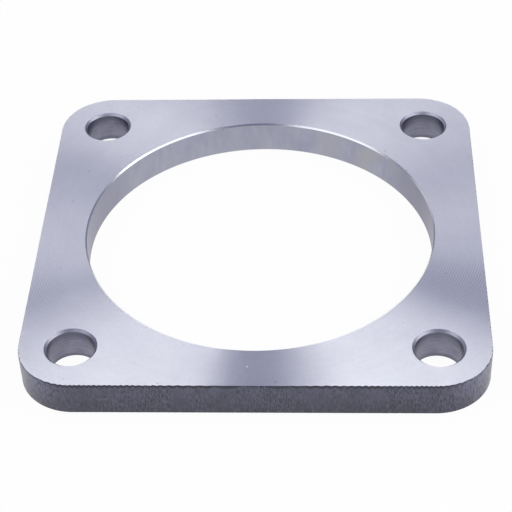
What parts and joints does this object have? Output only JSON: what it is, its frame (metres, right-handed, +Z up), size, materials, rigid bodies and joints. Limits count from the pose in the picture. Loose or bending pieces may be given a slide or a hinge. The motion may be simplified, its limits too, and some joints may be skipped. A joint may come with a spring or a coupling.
{
  "type": "square pipe flange",
  "caption": "Square steel plate flange with rounded corners, a large chamfered central bore for a pipe and a bolt hole in each corner.",
  "frame": {"origin": "on the axis of the bore, on the back face that the plate lies on", "axes": "+Z up along the axis of the bore, out of the turned front face; +X and +Y square to the sides of the plate"},
  "size_m": [0.0984, 0.0984, 0.0079],
  "materials": {
    "flange_steel": "front face turned with fine concentric tool marks, laser cut outer edges matt and dark, bore turned, bolt holes drilled"
  },
  "bodies": {
    "root": {"flange": "flange_steel"}
  },
  "joints": []
}
